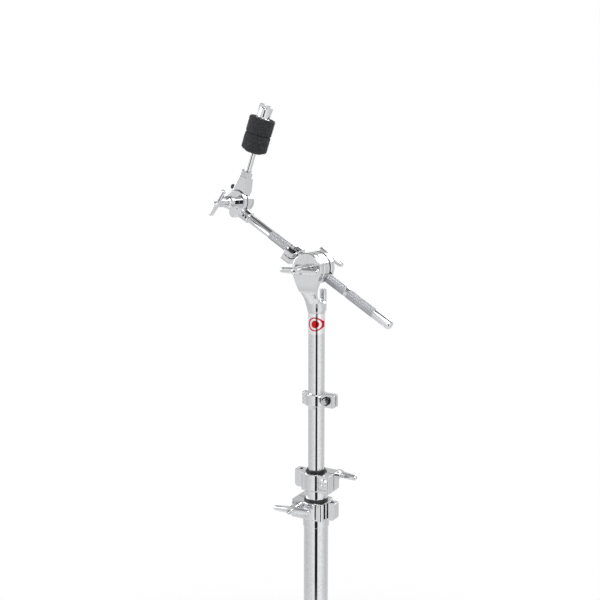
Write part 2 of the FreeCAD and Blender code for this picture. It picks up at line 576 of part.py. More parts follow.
# ---- tube clamps ------------------------------------------------------------------------------------
def tube_clamp(label, top, lower_r, passing_r, turn):
    """Cast clamp fixed on the top of one tube, with a nylon bushing for the tube inside."""
    outer = lower_r + 2.9
    height = 20.6
    neck_r = lower_r + 1.0
    reach = lower_r + 10.3
    lug_end = outer + 9.6
    front = -13.2 - (lower_r - middle_tube_r)
    block = box((-outer + 1.4, reach), (front, 15.2), (-height, 0))
    block = softened(block, 4.4, lambda edge: upright(edge) and edge.CenterOfMass.x < 0)
    block = softened(block, 2.0, lambda edge: upright(edge) and edge.CenterOfMass.x > 20)
    collar = turned([(0, -height), (outer - 1.4, -height), (outer, -height + 1.4),
                     (outer, -0.6), (outer - 0.6, 0), (0, 0)])
    lug = box((-lug_end, 0), (-5.4, 5.4), (-height, 0))
    lug = softened(lug, 4.0, lambda edge: edge.CenterOfMass.x < -lug_end + 0.6 and
                   abs(edge.CenterOfMass.z + height) < 0.1)
    notch = box((-lug_end + 3.0, -outer - 1.4), (-2.4, 2.4), (-4.5, 1))
    body = fuse([collar, block, lug.cut(notch), cyl(neck_r, -clamp_step + 3.4, 0)])
    body = body.cut(cyl(lower_r, -clamp_step - 1, -6.0))
    body = body.cut(cyl(lower_r - 0.4 + running_gap, -7.0, 1))
    body = body.cut(box((neck_r - 4, reach + 1), (-0.7, 0.7), (-height - 1, 1)))
    line_x = (lower_r - 3.4, lower_r - 2.6)
    body = body.cut(box(line_x, (front - 1, front + 0.8), (-16.9, -3.2)))
    body = body.cut(box((line_x[0], reach + 1), (front - 1, front + 0.8), (-17.4, -16.6)))
    bolt_at = (lower_r + 3.9, -8.4)
    body = body.cut(cyl(3.1, -20, 20, "y", bolt_at))
    body = body.cut(cyl(4.9, -20, -9.4, "y", bolt_at))
    nut = turned([(0, 9.4), (4.85, 9.4), (4.85, 13.6), (4.0, 14.4), (0, 14.4)], "y",
                 (-bolt_at[0], bolt_at[1]))
    nut.rotate(V(0, 0, 0), Z_AXIS, 180)
    nut = nut.cut(ring(3.4, 2.5, -15, -13.9, "y", bolt_at))
    nut = nut.cut(cyl(3.1, -12.4, 0, "y", bolt_at))
    handle = wing_handle(5.6, 24.0, 9.6, 16.4, 3.05, -27.2)
    bolt = facing_back(handle, bolt_at[0], 15.4, bolt_at[1], 4)
    bushing = fuse([ring(lower_r - 0.4, passing_r + running_gap, -5.9, 0.3),
                    ring(passing_r + 1.15, passing_r + running_gap, -0.2, 3.0),
                    ring(lower_r - wall - running_gap, passing_r + running_gap, -38.0, -5.8)])
    pieces = {"clamp": body, "clamp_nut": nut, "wing_bolt": bolt, "bushing": bushing}
    for part_name, piece in pieces.items():
        placed = moved(turned_about_z(piece, turn), 0, 0, top)
        save(label + "_" + part_name, placed)


# ---- tripod ------------------------------------------------------------------------------------------
def strip(length, width, thick, y):
    """Flat bar with round ends along -Z from a pivot at the origin, holed at both pivots."""
    half = width / 2
    bar = box((-half, half), (y, y + thick), (-length, 0))
    bar = fuse([bar, cyl(half, y, y + thick, "y"), cyl(half, y, y + thick, "y", (0, -length))])
    return bar


def swung(shape, degrees, r, z, turn):
    """Turn a bar hanging from the origin outwards, then place its pivot at radius r."""
    copy = shape.copy()
    copy.rotate(V(0, 0, 0), Y_AXIS, -degrees)
    copy.translate(V(r, 0, z))
    copy.rotate(V(0, 0, 0), Z_AXIS, turn)
    return copy


def hub_body(outer, half_height, centre_z, lug_half, bore_r):
    """Collar with three lugs; each lug reaches past the pivot circle."""
    parts = [turned([(0, centre_z - half_height), (outer - 1, centre_z - half_height),
                     (outer, centre_z - half_height + 1), (outer, centre_z + half_height - 1),
                     (outer - 1, centre_z + half_height), (0, centre_z + half_height)])]
    lug = fuse([box((0, leg_pivot_r), (-lug_half, lug_half), (centre_z - 6.5, centre_z + 6.5)),
                cyl(6.5, -lug_half, lug_half, "y", (leg_pivot_r, centre_z))])
    for k in range(3):
        parts.append(turned_about_z(lug, leg_turn(k)))
    return fuse(parts).cut(cyl(bore_r, centre_z - 60, centre_z + 60))


def leg_turn(k):
    return 90.0 + 120.0 * k


def hub_screw():
    """Screw that holds the lower hub to the base tube."""
    shank = cyl(2.5, base_tube_r - 1.1, 19.2, "x", (0, lower_pivot_z))
    head = coin(4.4, 19.0, 22.0, 0.8, "x", (0, lower_pivot_z))
    return turned_about_z(fuse([shank, head]), leg_turn(0) + 60.0)


def tripod():
    pin_r = 2.5
    leg_in, leg_thick, leg_wide = 7.0, 2.5, 16.0
    brace_in, brace_thick, brace_wide = 4.2, 2.3, 13.0
    hub = hub_body(18.5, 15.0, leg_hub_z, leg_in - 0.3, base_tube_r + running_gap)
    bolt_turn = leg_turn(0) + 60.0
    boss = cyl(8.0, 15.0, 27.0, "x", (0, leg_hub_z))
    boss = boss.cut(cyl(4.0, 0, 40, "x", (0, leg_hub_z)))
    hub = fuse([hub, turned_about_z(boss.cut(cyl(base_tube_r + 2, 0, 900)), bolt_turn)])
    hub = hub.cut(turned_about_z(cyl(4.0, 14, 40, "x", (0, leg_hub_z)), bolt_turn))
    handle = wing_handle(6.2, 24.0, 15.0, 22.0, 3.95, -12.4)
    handle.rotate(V(0, 0, 0), Y_AXIS, 90)
    handle.translate(V(27.4, 0, leg_hub_z))
    save("leg_hub_wing_bolt", turned_about_z(handle, bolt_turn))

    lower = hub_body(18.5, 12.0, lower_pivot_z, brace_in - 0.3, base_tube_r)
    cup = cyl(18.0, base_tube_bottom - 8.0, lower_pivot_z - 11.0)
    cup = cup.cut(cyl(base_tube_r, base_tube_bottom, lower_pivot_z))
    lower = fuse([lower, cup])
    screw = hub_screw()
    lower = lower.cut(screw)

    leg_pins = []
    brace_pins = []
    for k in range(3):
        turn = leg_turn(k)
        pin = fuse([cyl(pin_r, -11.0, 11.0, "y", (leg_pivot_r, leg_hub_z)),
                    coin(4.0, 9.7, 11.4, 0.6, "y", (leg_pivot_r, leg_hub_z)),
                    coin(4.0, -11.4, -9.7, 0.6, "y", (leg_pivot_r, leg_hub_z))])
        leg_pins.append(turned_about_z(pin, turn))
        pin = fuse([cyl(pin_r, -8.0, 8.0, "y", (leg_pivot_r, lower_pivot_z)),
                    coin(4.0, 6.7, 8.2, 0.6, "y", (leg_pivot_r, lower_pivot_z)),
                    coin(4.0, -8.2, -6.7, 0.6, "y", (leg_pivot_r, lower_pivot_z))])
        brace_pins.append(turned_about_z(pin, turn))
    for pin in leg_pins:
        hub = hub.cut(pin)
    for pin in brace_pins:
        lower = lower.cut(pin)
    save("leg_hub", hub)
    save("leg_hub_pins", leg_pins)
    save("lower_hub", lower)
    save("lower_hub_pins", brace_pins)
    save("lower_hub_screw", screw)

    hole = pin_r + running_gap
    for k in range(3):
        turn = leg_turn(k)
        strips = []
        rivets = []
        for y in (leg_in, -leg_in - leg_thick):
            bar = strip(leg_length - 22.0, leg_wide, leg_thick, y)
            bar = bar.cut(cyl(hole, y - 1, y + 4, "y"))
            bar = bar.cut(cyl(pin_r, y - 1, y + 4, "y", (0, -brace_length)))
            strips.append(swung(bar, leg_angle, leg_pivot_r, leg_hub_z, turn))
            side = 1 if y > 0 else -1
            outer_face = side * (leg_in + leg_thick)
            inner_face = side * (leg_in + 0.1)
            low, high = sorted((inner_face, outer_face + side * 0.2))
            head_low, head_high = sorted((outer_face + side * 0.05, outer_face + side * 1.7))
            rivet = fuse([cyl(pin_r, low, high, "y", (0, -brace_length)),
                          coin(4.0, head_low, head_high, 0.5, "y", (0, -brace_length))])
            rivets.append(swung(rivet, leg_angle, leg_pivot_r, leg_hub_z, turn))
        save("leg_%d" % (k + 1), strips + rivets)
        save("foot_%d" % (k + 1), foot(turn, leg_in, leg_thick, leg_wide))
        arms = []
        for y in (brace_in, -brace_in - brace_thick):
            bar = strip(brace_length, brace_wide, brace_thick, y)
            bar = bar.cut(cyl(hole, y - 1, y + 4, "y"))
            arms.append(swung(bar, 180.0 - leg_angle, leg_pivot_r, lower_pivot_z, turn))
        save("brace_%d" % (k + 1), arms)


def foot(turn, leg_in, leg_thick, leg_wide):
    """Rubber foot that fills the end of a leg and rests on the floor on a flat heel."""
    end_r = leg_pivot_r + leg_length * math.sin(math.radians(leg_angle))
    end_z = leg_hub_z - leg_length * math.cos(math.radians(leg_angle))
    boot_half = leg_in + leg_thick + 2.4
    boot = box((-leg_wide / 2 - 2.4, leg_wide / 2 + 2.4), (-boot_half, boot_half),
               (-leg_length - 16.0, -leg_length + 34.0))
    boot = softened(boot, 4.0, lambda edge: along_y(edge) or upright(edge))
    boot = swung(boot, leg_angle, leg_pivot_r, leg_hub_z, 0)
    sole = coin(14.0, 0, 9.0, 1.2, "z", (end_r - 2.0, 0))
    boot = boot.common(box((0, 900), (-90, 90), (0, 900)))
    boot = fuse([boot, sole])
    half = leg_wide / 2
    for y in (leg_in, -leg_in - leg_thick):
        bar = strip(leg_length - 22.0, leg_wide, leg_thick, y)
        boot = boot.cut(swung(bar, leg_angle, leg_pivot_r, leg_hub_z, 0))
    if abs(end_z) > half + 12:
        raise RuntimeError("the legs don't reach the floor")
    return turned_about_z(boot, turn)


def along_y(edge):
    """True for a straight edge along Y."""
    ends = edge.Vertexes
    if len(ends) != 2 or not isinstance(edge.Curve, Part.Line):
        return False
    step = ends[1].Point - ends[0].Point
    return abs(step.x) + abs(step.z) < 1e-6


cymbal_seat()
cymbal_rod()
tilter()
boom()
clutch()
tubes(yoke())
tube_lock_pieces()
tube_clamp("upper", upper_clamp_top, middle_tube_r, upper_tube_r, 0)
tube_clamp("lower", lower_clamp_top, base_tube_r, middle_tube_r, 180)
tripod()
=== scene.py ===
import json
import math

import bmesh
import bpy
from mathutils import Matrix, Vector


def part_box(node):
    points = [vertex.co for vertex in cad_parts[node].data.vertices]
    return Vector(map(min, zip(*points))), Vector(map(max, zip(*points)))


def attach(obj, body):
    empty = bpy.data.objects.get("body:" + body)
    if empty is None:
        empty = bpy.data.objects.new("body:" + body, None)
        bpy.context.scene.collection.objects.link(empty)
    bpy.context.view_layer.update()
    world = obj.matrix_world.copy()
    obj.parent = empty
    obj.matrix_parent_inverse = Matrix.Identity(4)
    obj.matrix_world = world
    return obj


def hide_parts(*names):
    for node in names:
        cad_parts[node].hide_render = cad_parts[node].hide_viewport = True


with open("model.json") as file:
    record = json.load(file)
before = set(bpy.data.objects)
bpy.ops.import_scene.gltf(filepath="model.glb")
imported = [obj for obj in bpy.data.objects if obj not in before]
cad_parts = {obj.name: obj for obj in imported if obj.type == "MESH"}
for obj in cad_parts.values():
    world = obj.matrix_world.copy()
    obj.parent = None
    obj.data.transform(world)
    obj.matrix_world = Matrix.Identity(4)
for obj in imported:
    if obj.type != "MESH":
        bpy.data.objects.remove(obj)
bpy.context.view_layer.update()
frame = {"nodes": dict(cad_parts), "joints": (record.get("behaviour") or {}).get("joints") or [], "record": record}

nodes = frame["nodes"]
joints = {joint["name"]: joint for joint in frame["joints"]}
scene = bpy.context.scene
MM = 0.001
FLOAT = "NodeSocketFloat"
VECTOR = "NodeSocketVector"
WHOLE = "NodeSocketInt"
GEOMETRY = "NodeSocketGeometry"
FINISH = "NodeSocketMaterial"


# ---- node helpers ---------------------------------------------------------------------
def new_node(tree, kind, **settings):
    node = tree.nodes.new(kind)
    for name, value in settings.items():
        setattr(node, name, value)
    return node


def link(tree, source, target):
    tree.links.new(source, target)


def effect_group(name, inputs, outputs):
    """Shader node group with named sockets: (name, kind, default) in, (name, kind) out."""
    group = bpy.data.node_groups.new(name, "ShaderNodeTree")
    for label, kind, default in inputs:
        socket = group.interface.new_socket(name=label, in_out="INPUT", socket_type=kind)
        if default is not None:
            socket.default_value = default
    for label, kind in outputs:
        group.interface.new_socket(name=label, in_out="OUTPUT", socket_type=kind)
    start = group.nodes.new("NodeGroupInput")
    end = group.nodes.new("NodeGroupOutput")
    return group, start, end


def noise(tree, vector, scale, detail=3.0, rough=0.5):
    node = new_node(tree, "ShaderNodeTexNoise")
    node.inputs["Scale"].default_value = scale
    node.inputs["Detail"].default_value = detail
    node.inputs["Roughness"].default_value = rough
    link(tree, vector, node.inputs["Vector"])
    return node.outputs["Fac"]


def remap(tree, value, low, high, to_low, to_high):
    node = new_node(tree, "ShaderNodeMapRange")
    node.clamp = True
    for index, number in ((1, low), (2, high), (3, to_low), (4, to_high)):
        node.inputs[index].default_value = number
    link(tree, value, node.inputs[0])
    return node.outputs[0]


def math_node(tree, operation, first, second):
    node = new_node(tree, "ShaderNodeMath", operation=operation)
    for index, value in ((0, first), (1, second)):
        if isinstance(value, (int, float)):
            node.inputs[index].default_value = value
        else:
            link(tree, value, node.inputs[index])
    return node.outputs[0]


# ---- shared effects -------------------------------------------------------------------
def make_edge_wear():
    """Mask of rubbed edges, broken up by noise."""
    group, start, end = effect_group(
        "edge_wear", [("Vector", VECTOR, None), ("Strength", FLOAT, 1.0)], [("Mask", FLOAT)])
    geometry = new_node(group, "ShaderNodeNewGeometry")
    edges = remap(group, geometry.outputs["Pointiness"], 0.52, 0.62, 0.0, 1.0)
    patches = remap(group, noise(group, start.outputs["Vector"], 420.0, 4.0), 0.42, 0.62, 0.0, 1.0)
    mask = math_node(group, "MULTIPLY", edges, patches)
    mask = math_node(group, "MULTIPLY", mask, start.outputs["Strength"])
    link(group, mask, end.inputs["Mask"])
    return group


def make_handling():
    """Faint smears and dust left by hands: a slow mask with fine specks in it."""
    group, start, end = effect_group(
        "handling", [("Vector", VECTOR, None), ("Smears", FLOAT, 1.0), ("Specks", FLOAT, 1.0)],
        [("Smear", FLOAT), ("Speck", FLOAT)])
    vector = start.outputs["Vector"]
    slow = remap(group, noise(group, vector, 34.0, 5.0, 0.62), 0.45, 0.75, 0.0, 1.0)
    fine = remap(group, noise(group, vector, 1500.0, 2.0), 0.70, 0.80, 0.0, 1.0)
    link(group, math_node(group, "MULTIPLY", slow, start.outputs["Smears"]), end.inputs["Smear"])
    link(group, math_node(group, "MULTIPLY", fine, start.outputs["Specks"]), end.inputs["Speck"])
    return group


def make_cast_skin():
    """Slow ripple of a polished casting and its tiny pits, as a height in its own units."""
    group, start, end = effect_group(
        "cast_skin", [("Vector", VECTOR, None), ("Ripple", FLOAT, 1.0), ("Pits", FLOAT, 1.0)],
        [("Height", FLOAT)])
    ripple = math_node(group, "MULTIPLY", noise(group, start.outputs["Vector"], 120.0, 2.0),
                       start.outputs["Ripple"])
    pits = remap(group, noise(group, start.outputs["Vector"], 2200.0, 2.0), 0.30, 0.42, -1.0, 0.0)
    pits = math_node(group, "MULTIPLY", pits, start.outputs["Pits"])
    link(group, math_node(group, "ADD", ripple, pits), end.inputs["Height"])
    return group


EDGE_WEAR = make_edge_wear()
HANDLING = make_handling()
CAST_SKIN = make_cast_skin()


def place_group(tree, group, vector, **values):
    node = new_node(tree, "ShaderNodeGroup", node_tree=group)
    link(tree, vector, node.inputs["Vector"])
    for label, value in values.items():
        node.inputs[label].default_value = value
    return node


def start_material(name):
    material = bpy.data.materials.new(name)
    material.use_nodes = True
    tree = material.node_tree
    shader = tree.nodes["Principled BSDF"]
    vector = new_node(tree, "ShaderNodeTexCoord").outputs["Object"]
    return material, tree, shader, vector


def mix_colour(tree, factor, first, second):
    node = new_node(tree, "ShaderNodeMix", data_type="RGBA")
    for index, value in ((6, first), (7, second)):
        if isinstance(value, tuple):
            node.inputs[index].default_value = value
        else:
            link(tree, value, node.inputs[index])
    link(tree, factor, node.inputs[0])
    return node.outputs[2]


def bump(tree, height, strength, distance):
    node = new_node(tree, "ShaderNodeBump")
    node.inputs["Strength"].default_value = strength
    node.inputs["Distance"].default_value = distance
    link(tree, height, node.inputs["Height"])
    return node


# ---- finishes -------------------------------------------------------------------------
WORN_PLATE = (0.60, 0.58, 0.55, 1.0)
PALE_DUST = (0.70, 0.70, 0.70, 1.0)
PRINT_LINE = (0.80, 0.78, 0.78, 1.0)
# near-black painted shade for the recess round a lock bolt's head
PAINTED_RECESS_SHADE = (0.03, 0.03, 0.03, 1.0)
BOLT_STEEL = (0.60, 0.61, 0.63, 1.0)
RUBBED_BLACK = (0.10, 0.10, 0.10, 1.0)
GREY_DUST = (0.22, 0.21, 0.20, 1.0)
WOOL_DARK = (0.010, 0.011, 0.012, 1.0)
WOOL_PALE = (0.042, 0.043, 0.047, 1.0)
LINT = (0.16, 0.16, 0.16, 1.0)


def rounded(tree, radius):
    """Normal of edges rounded over by this radius, as castings and pressings have them."""
    node = new_node(tree, "ShaderNodeBevel")
    node.samples = 6
    node.inputs["Radius"].default_value = radius
    return node.outputs["Normal"]


def chrome(name, colour, rough, ripple=0.0, edge=0.0):
    """Bright plate; ripple and rounded edges are for plate over a casting."""
    material, tree, shader, vector = start_material(name)
    shader.inputs["Metallic"].default_value = 1.0
    wear = place_group(tree, EDGE_WEAR, vector, Strength=0.35)
    touch = place_group(tree, HANDLING, vector, Smears=1.0, Specks=0.5)
    tint = mix_colour(tree, wear.outputs["Mask"], colour, WORN_PLATE)
    tint = mix_colour(tree, touch.outputs["Speck"], tint, PALE_DUST)
    link(tree, tint, shader.inputs["Base Color"])
    link(tree, remap(tree, touch.outputs["Smear"], 0.0, 1.0, rough, rough + 0.02),
         shader.inputs["Roughness"])
    if ripple:
        skin = place_group(tree, CAST_SKIN, vector, Ripple=ripple, Pits=0.05)
        skin_bump = bump(tree, skin.outputs["Height"], 0.12, 0.0004)
        link(tree, rounded(tree, edge), skin_bump.inputs["Normal"])
        link(tree, skin_bump.outputs["Normal"], shader.inputs["Normal"])
    return material


def from_line(tree, vector, point, axis):
    """Distance from the line through a point along a unit axis."""
    offset = new_node(tree, "ShaderNodeVectorMath", operation="SUBTRACT")
    link(tree, vector, offset.inputs[0])
    offset.inputs[1].default_value = point
    across = new_node(tree, "ShaderNodeVectorMath", operation="CROSS_PRODUCT")
    link(tree, offset.outputs[0], across.inputs[0])
    across.inputs[1].default_value = axis
    away = new_node(tree, "ShaderNodeVectorMath", operation="LENGTH")
    link(tree, across.outputs[0], away.inputs[0])
    return away.outputs["Value"]


def plated_print(name, colour, rough, ring=None):
    """Film or print over chrome; ring is (point, axis, inner, outer) of a thin pale line."""
    material, tree, shader, vector = start_material(name)
    shader.inputs["Metallic"].default_value = 0.92
    touch = place_group(tree, HANDLING, vector, Smears=1.0, Specks=0.5)
    tint = mix_colour(tree, touch.outputs["Speck"], colour, PALE_DUST)
    if ring:
        point, axis, inner, outer = ring
        away = from_line(tree, vector, point, axis)
        soft = 0.1 * MM
        over = remap(tree, away, inner - soft, inner, 0.0, 1.0)
        under = remap(tree, away, outer, outer + soft, 1.0, 0.0)
        tint = mix_colour(tree, math_node(tree, "MULTIPLY", over, under), tint, PRINT_LINE)
    link(tree, tint, shader.inputs["Base Color"])
    link(tree, remap(tree, touch.outputs["Smear"], 0.0, 1.0, rough, rough + 0.05),
         shader.inputs["Roughness"])
    return material


def bolt_in_painted_recess_shade(name, point, axis, core_r):
    """Bright bolt head standing in a recess whose shade is painted on: painted near-black past core_r from the
    bolt's axis.
    """
    material = chrome(name, BOLT_STEEL, 0.22, 0.5, 0.3 * MM)
    tree = material.node_tree
    shader = tree.nodes["Principled BSDF"]
    vector = new_node(tree, "ShaderNodeTexCoord").outputs["Object"]
    away = from_line(tree, vector, point, axis)
    soft = 0.2 * MM
    # painted recess shade: the bolt's own surface past core_r turns near-black
    dark = remap(tree, away, core_r - soft, core_r + soft, 0.0, 1.0)
    tint = shader.inputs["Base Color"].links[0].from_socket
    link(tree, mix_colour(tree, dark, tint, PAINTED_RECESS_SHADE), shader.inputs["Base Color"])
    return material


def moulded(name, colour, rough, grain, dust):
    """Black moulded or oxidised surface with a fine grain, rubbed edges and a little dust."""
    material, tree, shader, vector = start_material(name)
    wear = place_group(tree, EDGE_WEAR, vector, Strength=0.5)
    touch = place_group(tree, HANDLING, vector, Smears=1.0, Specks=dust)
    tint = mix_colour(tree, wear.outputs["Mask"], colour, RUBBED_BLACK)
    tint = mix_colour(tree, touch.outputs["Speck"], tint, GREY_DUST)
    link(tree, tint, shader.inputs["Base Color"])
    link(tree, remap(tree, touch.outputs["Smear"], 0.0, 1.0, rough, rough + 0.15),
         shader.inputs["Roughness"])
    grain_bump = bump(tree, noise(tree, vector, grain, 3.0), 0.25, 0.0002)
    link(tree, rounded(tree, 0.0003), grain_bump.inputs["Normal"])
    link(tree, grain_bump.outputs["Normal"], shader.inputs["Normal"])
    return material


def wool_felt(name):
    """Dense charcoal felt: matted fibres, paler where they stand up, with pressed layers."""
    material, tree, shader, vector = start_material(name)
    mat = noise(tree, vector, 900.0, 5.0, 0.7)
    layers = new_node(tree, "ShaderNodeTexNoise")
    stretched = new_node(tree, "ShaderNodeVectorMath", operation="MULTIPLY")
    link(tree, vector, stretched.inputs[0])
    stretched.inputs[1].default_value = (0.8, 0.8, 1.3)
    link(tree, stretched.outputs[0], layers.inputs["Vector"])
    layers.inputs["Scale"].default_value = 420.0
    both = math_node(tree, "MULTIPLY", mat, layers.outputs["Fac"])
    touch = place_group(tree, HANDLING, vector, Smears=1.0, Specks=0.6)
    tint = mix_colour(tree, remap(tree, both, 0.15, 0.40, 0.0, 1.0), WOOL_DARK, WOOL_PALE)
    tint = mix_colour(tree, touch.outputs["Speck"], tint, LINT)
    link(tree, tint, shader.inputs["Base Color"])
    shader.inputs["Roughness"].default_value = 0.96
    shader.inputs["Sheen Weight"].default_value = 0.06
    shader.inputs["Sheen Roughness"].default_value = 0.6
    link(tree, bump(tree, both, 0.7, 0.0006).outputs["Normal"], shader.inputs["Normal"])
    return material


def centre_of(node):
    """Middle of a CAD node's box."""
    low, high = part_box(node)
    return (low + high) / 2


def joint_point(name):
    """A point on a joint's axis, and the axis."""
    joint = joints[name]
    return tuple(joint["pos_m"]), tuple(joint["axis"])


MARK_LINE = (5.2 * MM, 6.0 * MM)   # inner and outer radius of the thin line in the mark
# radius past which the lock bolts get painted recess shade
BOLT_CORE_R = 3.5 * MM
mark_centre = centre_of("tube_mark")
mark_faces = Vector((mark_centre.x, mark_centre.y, 0.0)).normalized()
lock_point, lock_axis = joint_point("tube_lock_bolt_turn")
boom_lock_point, boom_lock_axis = joint_point("boom_lock_bolt_turn")
MATERIALS = {
    "chrome_tube": chrome("chrome_tube", (0.83, 0.84, 0.86, 1.0), 0.04),
    "cast_chrome": chrome("cast_chrome", (0.80, 0.81, 0.83, 1.0), 0.075, 1.0, 0.0007),
    "wing_chrome": chrome("wing_chrome", (0.80, 0.81, 0.83, 1.0), 0.085, 0.8, 0.0007),
    "bright_steel": chrome("bright_steel", (0.66, 0.67, 0.69, 1.0), 0.16, 0.5, 0.0003),
    "leg_steel": chrome("leg_steel", (0.80, 0.81, 0.83, 1.0), 0.07, 0.3, 0.0004),
    "knurled_steel": chrome("knurled_steel", (0.46, 0.47, 0.49, 1.0), 0.40),
    "felt": wool_felt("felt"),
    "black_nylon": moulded("black_nylon", (0.012, 0.012, 0.013, 1.0), 0.38, 1400.0, 0.5),
    "black_steel": moulded("black_steel", (0.020, 0.020, 0.021, 1.0), 0.32, 1800.0, 0.4),
    "rubber": moulded("rubber", (0.018, 0.018, 0.018, 1.0), 0.62, 700.0, 1.0),
    "pale_band": plated_print("pale_band", (0.92, 0.92, 0.93, 1.0), 0.16),
    "red_mark": plated_print("red_mark", (0.66, 0.012, 0.02, 1.0), 0.18,
                             (tuple(mark_centre), tuple(mark_faces), *MARK_LINE)),
    # both lock bolts carry painted recess shade past BOLT_CORE_R
    "tube_lock_bolt": bolt_in_painted_recess_shade("tube_lock_bolt", lock_point, lock_axis, BOLT_CORE_R),
    "boom_lock_bolt": bolt_in_painted_recess_shade("boom_lock_bolt", boom_lock_point, boom_lock_axis,
                                  BOLT_CORE_R),
}

slot_of = {entry["node"]: entry["material_slot"] for entry in frame["record"]["subparts"]}
for name, obj in nodes.items():
    obj.data.materials.clear()
    obj.data.materials.append(MATERIALS.get(name, MATERIALS[slot_of[name]]))


# ---- shapes made by node trees ----------------------------------------------------------
def shape_tree(name, inputs):
    """Geometry node tree with named inputs: (name, kind, default)."""
    tree = bpy.data.node_groups.new(name, "GeometryNodeTree")
    tree.interface.new_socket(name="Geometry", in_out="INPUT", socket_type=GEOMETRY)
    for label, kind, default in inputs:
        socket = tree.interface.new_socket(name=label, in_out="INPUT", socket_type=kind)
        if default is not None:
            socket.default_value = default
    tree.interface.new_socket(name="Geometry", in_out="OUTPUT", socket_type=GEOMETRY)
    return tree, tree.nodes.new("NodeGroupInput"), tree.nodes.new("NodeGroupOutput")


def finish_tree(tree, geometry, start, end):
    """Realizes the instances, gives the shape its finish and sends it out."""
    real = new_node(tree, "GeometryNodeRealizeInstances")
    painted = new_node(tree, "GeometryNodeSetMaterial")
    link(tree, geometry, real.inputs[0])
    link(tree, real.outputs[0], painted.inputs["Geometry"])
    link(tree, start.outputs["Finish"], painted.inputs["Material"])
    link(tree, painted.outputs[0], end.inputs["Geometry"])


def make_cut_rod():
    """Round bar with cuts running round it: one family gives a thread, two a diamond knurl."""
    tree, start, end = shape_tree("cut_rod", [
        ("Length", FLOAT, 0.02), ("Radius", FLOAT, 0.005), ("Depth", FLOAT, 0.0004),
        ("Starts", FLOAT, 1.0), ("Pitch", FLOAT, 0.00125), ("Crossed", FLOAT, 0.0),
        ("Steps Around", WHOLE, 48), ("Steps Along", WHOLE, 60),
        ("Finish", FINISH, None)])
    given = start.outputs
    grid = new_node(tree, "GeometryNodeMeshGrid")
    grid.inputs["Size X"].default_value = 1.0
    grid.inputs["Size Y"].default_value = 1.0
    link(tree, given["Steps Along"], grid.inputs["Vertices X"])
    link(tree, given["Steps Around"], grid.inputs["Vertices Y"])
    place = new_node(tree, "ShaderNodeSeparateXYZ")
    link(tree, new_node(tree, "GeometryNodeInputPosition").outputs[0], place.inputs[0])
    along = math_node(tree, "MULTIPLY", math_node(tree, "ADD", place.outputs["X"], 0.5),
                      given["Length"])
    turn = math_node(tree, "ADD", place.outputs["Y"], 0.5)
    round_part = math_node(tree, "MULTIPLY", turn, given["Starts"])
    long_part = math_node(tree, "DIVIDE", along, given["Pitch"])
    ridge = []
    for way in ("ADD", "SUBTRACT"):
        wave = math_node(tree, "PINGPONG", math_node(tree, way, round_part, long_part), 0.5)
        ridge.append(math_node(tree, "MULTIPLY", wave, 2.0))
    spared = math_node(tree, "SUBTRACT", 1.0, given["Crossed"])
    height = math_node(tree, "MINIMUM", ridge[0], math_node(tree, "MAXIMUM", ridge[1], spared))
    left = math_node(tree, "SUBTRACT", given["Length"], along)
    edge = math_node(tree, "DIVIDE", math_node(tree, "MINIMUM", along, left), given["Pitch"])
    edge = math_node(tree, "MINIMUM", edge, 1.0)
    height = math_node(tree, "MULTIPLY", height, edge)
    cut = math_node(tree, "MULTIPLY", math_node(tree, "SUBTRACT", 1.0, height), given["Depth"])
    radius = math_node(tree, "SUBTRACT", given["Radius"], cut)
    closed = math_node(tree, "MINIMUM", math_node(tree, "MULTIPLY", edge, 1000.0), 1.0)
    radius = math_node(tree, "MULTIPLY", radius, closed)
    angle = math_node(tree, "MULTIPLY", turn, -2.0 * math.pi)
    where = new_node(tree, "ShaderNodeCombineXYZ")
    link(tree, along, where.inputs["X"])
    link(tree, math_node(tree, "MULTIPLY", radius, math_node(tree, "COSINE", angle, 0.0)),
         where.inputs["Y"])
    link(tree, math_node(tree, "MULTIPLY", radius, math_node(tree, "SINE", angle, 0.0)),
         where.inputs["Z"])
    bent = new_node(tree, "GeometryNodeSetPosition")
    link(tree, grid.outputs["Mesh"], bent.inputs["Geometry"])
    link(tree, where.outputs[0], bent.inputs["Position"])
    merged = new_node(tree, "GeometryNodeMergeByDistance")
    merged.inputs["Distance"].default_value = 0.000002
    link(tree, bent.outputs[0], merged.inputs["Geometry"])
    finish_tree(tree, merged.outputs[0], start, end)
    return tree


